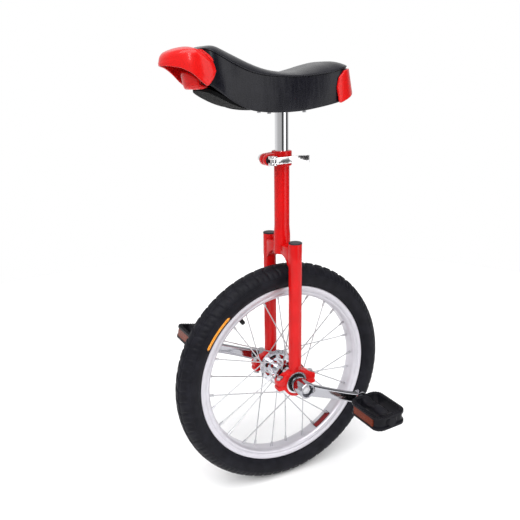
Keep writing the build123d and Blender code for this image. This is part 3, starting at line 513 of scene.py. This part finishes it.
# ---------------------------------------------------------------- softened copies of CAD nodes
COPY_WELD = 1e-6
FLAT = math.radians(1.0)            # faces nearer to flat than this are joined
SHARP = math.radians(35)            # edges sharper than this are rounded
EDGE_SEGMENTS = 2
SMOOTH_ROUNDS = 6


def copy_node(node, name):
    piece = bpy.data.objects.new(name, NODES[node].data.copy())
    bpy.context.collection.objects.link(piece)
    return piece


def apply_modifiers(piece):
    graph = bpy.context.evaluated_depsgraph_get()
    mesh = bpy.data.meshes.new_from_object(piece.evaluated_get(graph))
    piece.modifiers.clear()
    piece.data = mesh


def paint(piece, material):
    """One material and smooth shading all over."""
    piece.data.materials.clear()
    piece.data.materials.append(material)
    for polygon in piece.data.polygons:
        polygon.use_smooth = True


def stand_in(piece, node, body):
    """Shows the piece in place of the node."""
    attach(piece, body)
    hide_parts(node)


def rounded(node, width, material, body):
    """Copy of a hard-edged node with its edges rounded, in place of the node."""
    piece = copy_node(node, f"{node}_rounded")
    bm = bmesh.new()
    bm.from_mesh(piece.data)
    bmesh.ops.remove_doubles(bm, verts=bm.verts, dist=COPY_WELD)
    bmesh.ops.dissolve_limit(bm, angle_limit=FLAT, verts=bm.verts, edges=bm.edges)
    bm.to_mesh(piece.data)
    bm.free()
    bevel = piece.modifiers.new("edges", "BEVEL")
    bevel.width = width
    bevel.segments = EDGE_SEGMENTS
    bevel.limit_method = "ANGLE"
    bevel.angle_limit = SHARP
    bevel.use_clamp_overlap = True
    bevel.harden_normals = True
    paint(piece, material)
    apply_modifiers(piece)
    stand_in(piece, node, body)


def moulded(node, name, voxel, material, body):
    """Copy of a node with soft moulded edges: remeshed finely and smoothed."""
    piece = copy_node(node, name)
    remesh = piece.modifiers.new("remesh", "REMESH")
    remesh.mode = "VOXEL"
    remesh.voxel_size = voxel
    smooth = piece.modifiers.new("smooth", "SMOOTH")
    smooth.factor = 0.5
    smooth.iterations = SMOOTH_ROUNDS
    apply_modifiers(piece)
    paint(piece, material)
    stand_in(piece, node, body)
    return piece


# ---------------------------------------------------------------- saddle
# Its curves are in millimetres: PLAN is (x, y) of the left side, the others are (x, z).
TAIL_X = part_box("saddle_pad")[0].x
PLAN = [(149, 0), (147, 22), (139, 37), (120, 43), (88, 42.5), (52, 45), (18, 51), (-18, 60),
        (-52, 67), (-78, 65), (-99, 49), (-109, 26), (-112, 0)]
RIDGE = [(150, 752), (146, 756), (136, 758.2), (122, 757), (97, 747), (66, 733.5), (43, 725.5),
         (19, 721.2), (-5, 721), (-30, 726), (-55, 732.3), (-80, 736), (-102, 735), (-113, 731)]
SEAM = [(151, 750), (147, 753.5), (137, 751.5), (117, 741), (98, 732), (77, 723), (56, 718),
        (34, 715.6), (2, 714.6), (-19, 716), (-45, 719.5), (-73, 725), (-100, 729), (-113, 728)]
HEM = [(150, 706), (140, 703), (127, 694.5), (110, 683), (93, 673.4), (76, 666.4), (56, 662.8),
       (34, 661.4), (12, 661.6), (-9, 663.4), (-35, 668), (-68, 675), (-102, 684), (-113, 687)]
CROWN = 3.2                         # how late the top falls towards the seam
TAIL_LEAN = 12.0                    # how far the tail's top leans forward
TAIL_LEAN_FROM = -55.0              # the lean grows from here back
SPINE = (-62.0, 112.0)              # the top's rows close onto this part of the centre line
SEAM_CHANNEL = ((0.3, 0.5), (1.3, 1.3), (0.4, 2.6))    # inset and depth below the seam
HEM_ROLL = ((3.4, -0.3), (4.6, 0.8), (4.8, 5.0))       # inset and height above the hem
SKIRT_BELLY = 1.6
SKIRT_TUCK = 1.8
SKIRT_INSET = 0.5
PIPING_R = 0.9
HEM_R = 1.1


def catmull(points, per_span=12):
    """Smooth open curve through points, which are mirrored about y = 0 past their last one."""
    loop = list(points) + [(x, -y) for x, y in reversed(points[:-1])]
    curve = []
    for i in range(len(loop) - 1):
        p = [loop[max(0, i - 1)], loop[i], loop[i + 1], loop[min(len(loop) - 1, i + 2)]]
        for k in range(per_span):
            t = k / per_span
            curve.append(tuple(0.5 * (2 * p[1][c] + (p[2][c] - p[0][c]) * t
                                      + (2 * p[0][c] - 5 * p[1][c] + 4 * p[2][c] - p[3][c]) * t * t
                                      + (3 * p[1][c] - p[0][c] - 3 * p[2][c] + p[3][c]) * t ** 3)
                               for c in (0, 1)))
    return curve + [loop[-1]]


def spaced(path, count):
    """A number of points, evenly spaced along an open path of 2-D points, both ends included."""
    lengths = [0.0]
    for a, b in zip(path, path[1:]):
        lengths.append(lengths[-1] + math.dist(a, b))
    spots, i = [], 0
    for k in range(count):
        goal = lengths[-1] * k / (count - 1)
        while lengths[i + 1] < goal and i < len(path) - 2:
            i += 1
        t = (goal - lengths[i]) / (lengths[i + 1] - lengths[i])
        spots.append(tuple(path[i][c] + (path[i + 1][c] - path[i][c]) * t for c in (0, 1)))
    return spots


def plan_points(count):
    """Points round the saddle's outline, evenly spaced, from the nose by the left side."""
    return spaced(catmull(PLAN), count + 1)[:-1]


def lean(x, height):
    """Forward shift of the tail at a height from 0, the hem, to 1, the seam."""
    return TAIL_LEAN * height * smoothstep(-TAIL_LEAN_FROM, -TAIL_X / MM, -x)


def outward(spots, i):
    """Unit normal of the outline at one of its points."""
    (ax, ay), (bx, by) = spots[i - 1], spots[(i + 1) % len(spots)]
    length = math.hypot(bx - ax, by - ay)
    return (by - ay) / length, -(bx - ax) / length


def make_saddle():
    """Foam pad in its vinyl cover: crowned top, seam channel, side skirt and rolled-in hem."""
    count, top_rows, side_rows = 180, 16, 14
    spots = plan_points(count)
    normals = [outward(spots, i) for i in range(count)]
    rows = []
    for k in range(top_rows + 1):
        spread = k / top_rows
        row = []
        for x, y in spots:
            spine = min(SPINE[1], max(SPINE[0], x))
            px, py = spine + (x - spine) * spread, y * spread
            top, seam = curve_at(RIDGE, px), curve_at(SEAM, x)
            row.append((px + lean(px, 1.0), py, top + (seam - top) * spread ** CROWN))
        rows.append(row)
    for inset, down in SEAM_CHANNEL:
        rows.append([(x + lean(x, 1.0) - nx * inset, y - ny * inset, curve_at(SEAM, x) - down)
                     for (x, y), (nx, ny) in zip(spots, normals)])
    for k in range(1, side_rows + 1):
        t = k / side_rows
        out = SKIRT_BELLY * math.sin(math.pi * t) - SKIRT_TUCK * t * t - SKIRT_INSET
        row = []
        for (x, y), (nx, ny) in zip(spots, normals):
            high, low = curve_at(SEAM, x) - SEAM_CHANNEL[-1][1], curve_at(HEM, x)
            row.append((x + lean(x, 1 - t) + nx * out, y + ny * out, high + (low - high) * t))
        rows.append(row)
    for inset, lift in HEM_ROLL:
        rows.append([(x - nx * inset, y - ny * inset, curve_at(HEM, x) + lift)
                     for (x, y), (nx, ny) in zip(spots, normals)])
    vertices = [Vector(p) * MM for row in rows for p in row]
    faces = grid_faces(len(rows), count, False, True)
    cover = new_piece("saddle_cover", vertices, faces, MAT["saddle_vinyl"], "seat")
    add_subdivision(cover)
    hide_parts("saddle_pad")
    seam = [Vector((x + lean(x, 1.0) + nx * 0.1, y + ny * 0.1, curve_at(SEAM, x) - 1.3)) * MM
            for (x, y), (nx, ny) in zip(spots, normals)]
    tube_round("saddle_piping", seam, PIPING_R * MM, MAT["saddle_vinyl"], "seat")
    hem = [Vector((x - nx * 3.2, y - ny * 3.2, curve_at(HEM, x) + 0.6)) * MM
           for (x, y), (nx, ny) in zip(spots, normals)]
    tube_round("saddle_hem", hem, HEM_R * MM, MAT["saddle_vinyl"], "seat", 8)


def add_subdivision(piece):
    modifier = piece.modifiers.new("subdivision", "SUBSURF")
    modifier.levels = modifier.render_levels = 1
    apply_modifiers(piece)


def tube_round(name, path, radius, material, body, sides=10):
    """Closed tube round a loop of points."""
    count = len(path)
    vertices = []
    for i in range(count):
        along = (path[(i + 1) % count] - path[i - 1]).normalized()
        side = along.cross(Vector((0, 0, 1))).normalized()
        up = side.cross(along)
        for k in range(sides):
            a = 2 * math.pi * k / sides
            vertices.append(path[i] + (side * math.cos(a) + up * math.sin(a)) * radius)
    return new_piece(name, vertices, grid_faces(count, sides, True, True), material, body)


# ---------------------------------------------------------------- front handle
# Its curves are in millimetres, as the saddle's are.
HANDLE_PLAN = [(132, 44.8), (142, 46.2), (157, 45), (172, 39.5), (186, 28.5), (195.5, 15), (199.5, 0)]
HANDLE_ROOF = [(131, 736), (138, 744), (146, 750), (153, 754), (160, 756.5), (175, 754.5), (190, 749),
               (200, 743.5)]
HANDLE_LIP = [(132, 728), (134, 717), (139, 708), (146, 701.5), (152, 705), (167, 718.5), (179, 725.5),
              (188, 728), (200, 729.5)]
ROOF_CROWN = 6.0
ROOF_EDGE_R = 8.0
ROOF_EDGE_SHARE = 0.8               # most of the roof's depth that its rounded edge may take
ROOF_START = 0.8                    # gap between the roof and the saddle's nose
WALL_BELLY = 0.9
LIP_FLARE = 0.5
HANDLE_WALL = 2.6 * MM
GRIP_X = 148
GRIP_BOW = 13
GRIP_REACH = 25.0
GRIP_FLOOR = 699
GRIP_SECTION = [(-16, 702), (-16, 699), (-3, 695.5), (1, 697), (3, 702), (4.6, 711), (6.0, 717), (5.4, 721),
                (3.4, 722.4), (1.8, 720.5), (2.6, 717), (1.4, 711), (-0.2, 703.5), (-3, 700.5)]
RIBS = 7
RIB_PITCH = 6.4
RIB_HALF = 0.8


def handle_roof(x, y):
    return curve_at(HANDLE_ROOF, x) - ROOF_CROWN * (y / HANDLE_PLAN[0][1]) ** 2


def make_handle():
    """Moulded hood: a roof from the saddle's nose that rolls over into a skirt with a lip."""
    columns = 97
    outer = spaced(catmull(HANDLE_PLAN), columns)
    nose = [p for p in catmull(PLAN, 48) if p[0] >= HANDLE_PLAN[0][0]]
    left = [p for p in nose if p[1] >= 0]
    nose = left[::-1] + [(x, -y) for x, y in left[1:]]
    inner = spaced(nose, columns)
    vertices = []
    roof_rows, roll_rows, wall_rows = 8, 6, 9
    for (bx, by), (ix, iy) in zip(outer, inner):
        gap = math.dist((bx, by), (ix, iy))
        ux, uy = (bx - ix) / gap, (by - iy) / gap
        roll = min(ROOF_EDGE_R, ROOF_EDGE_SHARE * gap)
        for k in range(roof_rows):
            d = ROOF_START + (gap - roll - ROOF_START) * k / roof_rows
            x, y = ix + ux * d, iy + uy * d
            vertices.append((x, y, handle_roof(x, y)))
        for k in range(roll_rows + 1):
            a = math.pi / 2 * k / roll_rows
            d = gap - roll + roll * math.sin(a)
            x, y = ix + ux * d, iy + uy * d
            vertices.append((x, y, handle_roof(x, y) - roll * (1 - math.cos(a))))
        top, low = vertices[-1][2], curve_at(HANDLE_LIP, bx)
        for k in range(1, wall_rows + 1):
            t = k / wall_rows
            belly = WALL_BELLY * math.sin(math.pi * t) + (LIP_FLARE if k >= wall_rows - 1 else 0.0)
            vertices.append((bx + ux * belly, by + uy * belly, min(top - 0.2, top + (low - top) * t)))
    rows = roof_rows + roll_rows + 1 + wall_rows
    faces = grid_faces(columns, rows)
    handle = new_piece("front_handle_shell", [Vector(v) * MM for v in vertices], faces,
                       MAT["red_plastic"], "seat")
    on_the_roof = rows // 3 + rows * (columns // 2)
    if handle.data.vertices[on_the_roof].normal.z < 0:
        handle.data.flip_normals()
    thicken(handle, HANDLE_WALL)
    add_subdivision(handle)
    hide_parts("front_handle")


def thicken(piece, wall):
    modifier = piece.modifiers.new("wall", "SOLIDIFY")
    modifier.thickness = wall
    modifier.offset = -1
    modifier.use_even_offset = False
    apply_modifiers(piece)


def grip_bow(y):
    """How far forward the grip wall stands at a place across it."""
    return GRIP_BOW * (1 - (y / GRIP_REACH) ** 2)


def make_grip_wall():
    """Hooked wall inside the handle, with ribs behind it, that the fingers pull on."""
    columns, size = 29, len(GRIP_SECTION)
    vertices = []
    for j in range(columns):
        y = GRIP_REACH * (2 * j / (columns - 1) - 1)
        fade = 1 - 0.45 * abs(y / GRIP_REACH) ** 3
        for dx, z in GRIP_SECTION:
            vertices.append(Vector((GRIP_X + grip_bow(y) + dx, y, GRIP_FLOOR + (z - GRIP_FLOOR) * fade)) * MM)
    faces = grid_faces(columns, size, False, True)
    faces += [tuple(range(size)), tuple(range((columns - 1) * size, columns * size))]
    grip = new_piece("handle_grip_wall", vertices, faces, MAT["red_plastic"], "seat")
    add_subdivision(grip)
    for k in range(RIBS):
        y = RIB_PITCH * (k - RIBS // 2)
        x0 = GRIP_X + grip_bow(y)
        corners = [(x0 + 0.3, 700), (x0 + 2.6, 716), (x0 - 6, 711), (x0 - 12, 711), (x0 - 12, 700)]
        vertices = [Vector((x, y + half, z)) * MM for half in (-RIB_HALF, RIB_HALF) for x, z in corners]
        n = len(corners)
        faces = [tuple(range(n)), tuple(range(2 * n - 1, n - 1, -1))]
        faces += [(i, i + n, (i + 1) % n + n, (i + 1) % n) for i in range(n)]
        new_piece(f"handle_rib_{k}", vertices, faces, MAT["red_plastic"], "seat", False)


def make_bumper():
    """Rear bumper with moulded edges, which leans forward with the tail."""
    low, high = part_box("rear_bumper")
    bumper = moulded("rear_bumper", "rear_bumper_moulded", 0.9 * MM, MAT["red_plastic"], "seat")
    for vertex in bumper.data.vertices:
        height = (vertex.co.z - low.z) / (high.z - low.z)
        vertex.co.x += lean(vertex.co.x / MM, min(1.0, max(0.0, height))) * MM


# ---------------------------------------------------------------- pedals
PEDAL_DEPTH = 62.0
PEDAL_LENGTH = 80.0
PEDAL_CORNER = 15.0
HALF_H = 12.3
RAIL_T = 7.0
TOOTH = 1.3
CAGE_SPOTS = 208
CORNER_STEPS = 12
CAGE_SECTION = [(0.0, HALF_H - 1), (0.0, 7.4), (2.6, 6.4), (2.6, -6.4), (0.0, -7.4), (0.0, 1 - HALF_H),
                (1.0, -HALF_H), (3.2, -HALF_H), (3.7, -HALF_H + 0.8), (4.2, -HALF_H),
                (RAIL_T - 0.8, -HALF_H), (RAIL_T, 1 - HALF_H), (RAIL_T, HALF_H - 1), (RAIL_T - 0.8, HALF_H),
                (4.2, HALF_H), (3.7, HALF_H - 0.8), (3.2, HALF_H), (1.0, HALF_H)]  # inset and height
BARREL_ROWS = 33
BARREL_SIDES = 28
BARREL_W = 9.2
BARREL_H = 8.2
BOSS_SIDES = 40
BOSS_RINGS = [(0.0, 38.6), (3.4, 38.6), (3.8, 39.4), (4.6, 39.4), (5.0, 38.6), (6.6, 38.6), (7.0, 39.6),
              (8.6, 39.6), (9.0, 38.8), (10.4, 38.6), (10.8, 37.4), (10.8, 33.0)]  # radius and place along it


def rounded_rectangle(depth, length, corner, count):
    """Evenly spaced points round a rectangle with round corners, from its +x side."""
    path = []
    for cx, cy, start in ((1, 1, 0), (-1, 1, 90), (-1, -1, 180), (1, -1, 270)):
        for k in range(CORNER_STEPS + 1):
            a = math.radians(start + 90 / CORNER_STEPS * k)
            path.append((cx * (depth / 2 - corner) + corner * math.cos(a),
                         cy * (length / 2 - corner) + corner * math.sin(a)))
    path.append(path[0])
    return spaced(path, count + 1)[:-1]


def make_cage(name, at):
    """Waisted wall with a toothed rail along its top and its bottom."""
    spots = rounded_rectangle(PEDAL_DEPTH, PEDAL_LENGTH, PEDAL_CORNER, CAGE_SPOTS)
    vertices = []
    for i, (a, y) in enumerate(spots):
        na, ny = outward(spots, i)
        tooth = TOOTH if i % 4 < 2 else 0.0
        for inset, z in CAGE_SECTION:
            cut = tooth if abs(z) >= HALF_H - 0.9 and 0.9 <= inset <= RAIL_T - 0.7 else 0.0
            vertices.append(at(a - na * inset, y - ny * inset, z - math.copysign(cut, z)))
    faces = grid_faces(len(spots), len(CAGE_SECTION), True, True)
    cage = new_piece(f"pedal_cage_{name}", vertices, faces, MAT["pedal_plastic"], f"pedal_{name}",
                     False)
    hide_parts(f"pedal_body_{name}")


def make_barrel(name, at):
    """Squarish barrel round the spindle, with light rings and thicker ends."""
    vertices = []
    for j in range(BARREL_ROWS):
        y = (PEDAL_LENGTH / 2 - 4) * (2 * j / (BARREL_ROWS - 1) - 1)
        swell = 1.2 * math.cos(y / 5.2) + 1.6 * smoothstep(22, 32, abs(y))
        for k in range(BARREL_SIDES):
            a = 2 * math.pi * k / BARREL_SIDES
            square = (abs(math.cos(a)) ** 4 + abs(math.sin(a)) ** 4) ** -0.25
            vertices.append(at(BARREL_W * math.cos(a) * square, y, (BARREL_H + swell) * math.sin(a) * square))
    faces = grid_faces(BARREL_ROWS, BARREL_SIDES, False, True)
    faces += [tuple(range(BARREL_SIDES)), tuple(range(len(vertices) - BARREL_SIDES, len(vertices)))]
    new_piece(f"pedal_barrel_{name}", vertices, faces, MAT["pedal_plastic"], f"pedal_{name}")


def make_end_boss(name, at):
    """Round boss with rings over the spindle's outer end."""
    turns = [2 * math.pi * k / BOSS_SIDES for k in range(BOSS_SIDES)]
    vertices = [at(r * math.cos(a), y, r * math.sin(a)) for r, y in BOSS_RINGS for a in turns]
    faces = grid_faces(len(BOSS_RINGS), BOSS_SIDES, False, True)
    faces += [tuple(range(len(vertices) - BOSS_SIDES, len(vertices)))]
    new_piece(f"pedal_end_boss_{name}", vertices, faces, MAT["pedal_plastic"], f"pedal_{name}")


def make_pedal(name, side):
    """Cage, barrel and end boss, placed by the pedal's mount and its spindle."""
    mount = next(m for m in frame["record"]["mounts"] if m["name"] == f"pedal_platform_{name}")
    up = Vector(mount["axis"])
    across = Vector((0, side, 0))
    fore = Vector((up.z, 0, -up.x))
    low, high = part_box(f"pedal_spindle_{name}")
    tip = (low + high) / 2
    body_low, body_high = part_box(f"pedal_body_{name}")
    middle = Vector((tip.x, (body_low.y + body_high.y) / 2, tip.z))

    def at(a, y, z):
        return middle + (fore * a + across * y + up * z) * MM

    make_cage(name, at)
    make_barrel(name, at)
    make_end_boss(name, at)


# ---------------------------------------------------------------- studio
FLOOR_R = 1.5
FLOOR_SIDES = 96
STRIP = 1.9                         # brightness of the tall light strip at the side
# Degrees about +Z, and the brightness there.
STUDIO_WALL = ((-180, 0.3), (-130, 0.8), (-50, 0.8), (0, 0.5), (58, 0.45), (70, 0.05), (97, 0.05),
               (102, STRIP), (128, STRIP), (134, 0.12), (172, 0.12), (180, 0.3))
CEILING = (0.55, 0.55, 0.57, 1)
CEILING_FROM = 0.55                 # upward part of a direction where the walls start to fade into it
CEILING_FULL = 0.8
CAMERA_PLACE = (0.50984, 0.88662, 0.71225)
CAMERA_TURN = (0.485, 0.285, -0.014)                   # yaw, downward pitch and roll, in radians
CAMERA_LENS = 43.13                 # millimetres, on a sensor this wide
CAMERA_SENSOR = 36


def make_floor():
    turns = [2 * math.pi * i / FLOOR_SIDES for i in range(FLOOR_SIDES)]
    rim = [(FLOOR_R * math.cos(a), FLOOR_R * math.sin(a), 0) for a in turns]
    mesh = bpy.data.meshes.new("floor")
    mesh.from_pydata(rim, [], [tuple(range(FLOOR_SIDES))])
    floor = bpy.data.objects.new("floor", mesh)
    bpy.context.collection.objects.link(floor)
    s = Shader("floor_paper", (0.95, 0.95, 0.95), 0.7, specular=0.1)
    s.vary_roughness(s.noise(40, 4), 0.05)
    mesh.materials.append(s.material)


def make_world():
    """White backdrop, with grey walls and one tall light strip for the reflections."""
    world = bpy.data.worlds.new("studio")
    bpy.context.scene.world = world
    world.use_nodes = True
    tree = world.node_tree
    nodes, link = tree.nodes, tree.links.new
    background = nodes["Background"]
    coords = nodes.new("ShaderNodeTexCoord")
    split = nodes.new("ShaderNodeSeparateXYZ")
    link(coords.outputs["Generated"], split.inputs["Vector"])
    azimuth = nodes.new("ShaderNodeMath")
    azimuth.operation = "ARCTAN2"
    link(split.outputs["Y"], azimuth.inputs[0])
    link(split.outputs["X"], azimuth.inputs[1])
    turn = nodes.new("ShaderNodeMapRange")
    turn.inputs["From Min"].default_value = -math.pi
    turn.inputs["From Max"].default_value = math.pi
    link(azimuth.outputs["Value"], turn.inputs["Value"])
    walls = nodes.new("ShaderNodeValToRGB")
    stops = walls.color_ramp.elements
    for k, (angle, level) in enumerate(STUDIO_WALL):
        stop = stops[k] if k < 2 else stops.new(1.0)
        stop.position = (angle + 180) / 360
        stop.color = (level, level, level, 1)
    link(turn.outputs["Result"], walls.inputs["Fac"])
    rise = nodes.new("ShaderNodeMapRange")
    rise.inputs["From Min"].default_value = CEILING_FROM
    rise.inputs["From Max"].default_value = CEILING_FULL
    link(split.outputs["Z"], rise.inputs["Value"])
    room = nodes.new("ShaderNodeMix")
    room.data_type = "RGBA"
    room.inputs["B"].default_value = CEILING
    link(walls.outputs["Color"], room.inputs["A"])
    link(rise.outputs["Result"], room.inputs["Factor"])
    path = nodes.new("ShaderNodeLightPath")
    seen = nodes.new("ShaderNodeMix")
    seen.data_type = "RGBA"
    seen.inputs["B"].default_value = (1, 1, 1, 1)
    link(room.outputs["Result"], seen.inputs["A"])
    link(path.outputs["Is Camera Ray"], seen.inputs["Factor"])
    link(seen.outputs["Result"], background.inputs["Color"])


def hang(name, light, direction, place=(0, 0, 0)):
    """Puts a light in the scene, shining along a direction."""
    lamp = bpy.data.objects.new(name, light)
    bpy.context.collection.objects.link(lamp)
    lamp.location = place
    lamp.rotation_mode = "QUATERNION"
    lamp.rotation_quaternion = Vector(direction).to_track_quat("-Z", "Y")


def sun_light(direction, strength, softness):
    """Even light from far off, softened to the given angle in degrees."""
    light = bpy.data.lights.new("overhead", "SUN")
    light.energy = strength
    light.angle = math.radians(softness)
    hang("overhead", light, direction)


def area_light(name, place, target, size, power):
    light = bpy.data.lights.new(name, "AREA")
    light.shape = "RECTANGLE"
    light.size, light.size_y = size
    light.energy = power
    hang(name, light, Vector(target) - Vector(place), place)


def make_camera():
    yaw, pitch, roll = CAMERA_TURN
    look = Vector((-math.sin(yaw) * math.cos(pitch), -math.cos(yaw) * math.cos(pitch), -math.sin(pitch)))
    level = Vector((-math.cos(yaw), math.sin(yaw), 0))
    upright = level.cross(look)
    right = level * math.cos(roll) + upright * math.sin(roll)
    up = upright * math.cos(roll) - level * math.sin(roll)
    camera = bpy.data.objects.new("camera", bpy.data.cameras.new("camera"))
    bpy.context.collection.objects.link(camera)
    camera.data.lens = CAMERA_LENS
    camera.data.sensor_width = CAMERA_SENSOR
    camera.data.clip_start = 0.01
    turn = Matrix((right, up, -look)).transposed().to_4x4()
    camera.matrix_world = Matrix.Translation(CAMERA_PLACE) @ turn
    bpy.context.scene.camera = camera


# ---------------------------------------------------------------- assembly
make_camera()
make_floor()
make_world()
paint_frame()
make_tyre()
make_sidewall_rings()
make_rim()
make_labels()
make_saddle()
make_handle()
make_grip_wall()
make_bumper()
make_pedal("left", 1)
make_pedal("right", -1)
for side in ("left", "right"):
    rounded(f"bearing_holder_{side}", 0.9 * MM, MAT["frame_paint"], "frame")
    rounded(f"bearing_cap_{side}", 0.7 * MM, MAT["frame_paint"], "frame")
    rounded(f"crown_{side}", 0.8 * MM, MAT["frame_paint"], "frame")
    rounded(f"crank_{side}", 0.8 * MM, MAT["crank_chrome"], "wheel")
rounded("quick_release_lever", 0.8 * MM, MAT["clamp_chrome"], "lever")
rounded("seat_clamp", 0.8 * MM, MAT["frame_paint"], "frame")
sun_light((-0.35, -0.45, -1.0), 3.1, 60)
area_light("key", (1.3, 1.9, 1.5), (0, 0, 0.45), (0.35, 1.0), 9)
bpy.context.scene.view_settings.view_transform = "Standard"
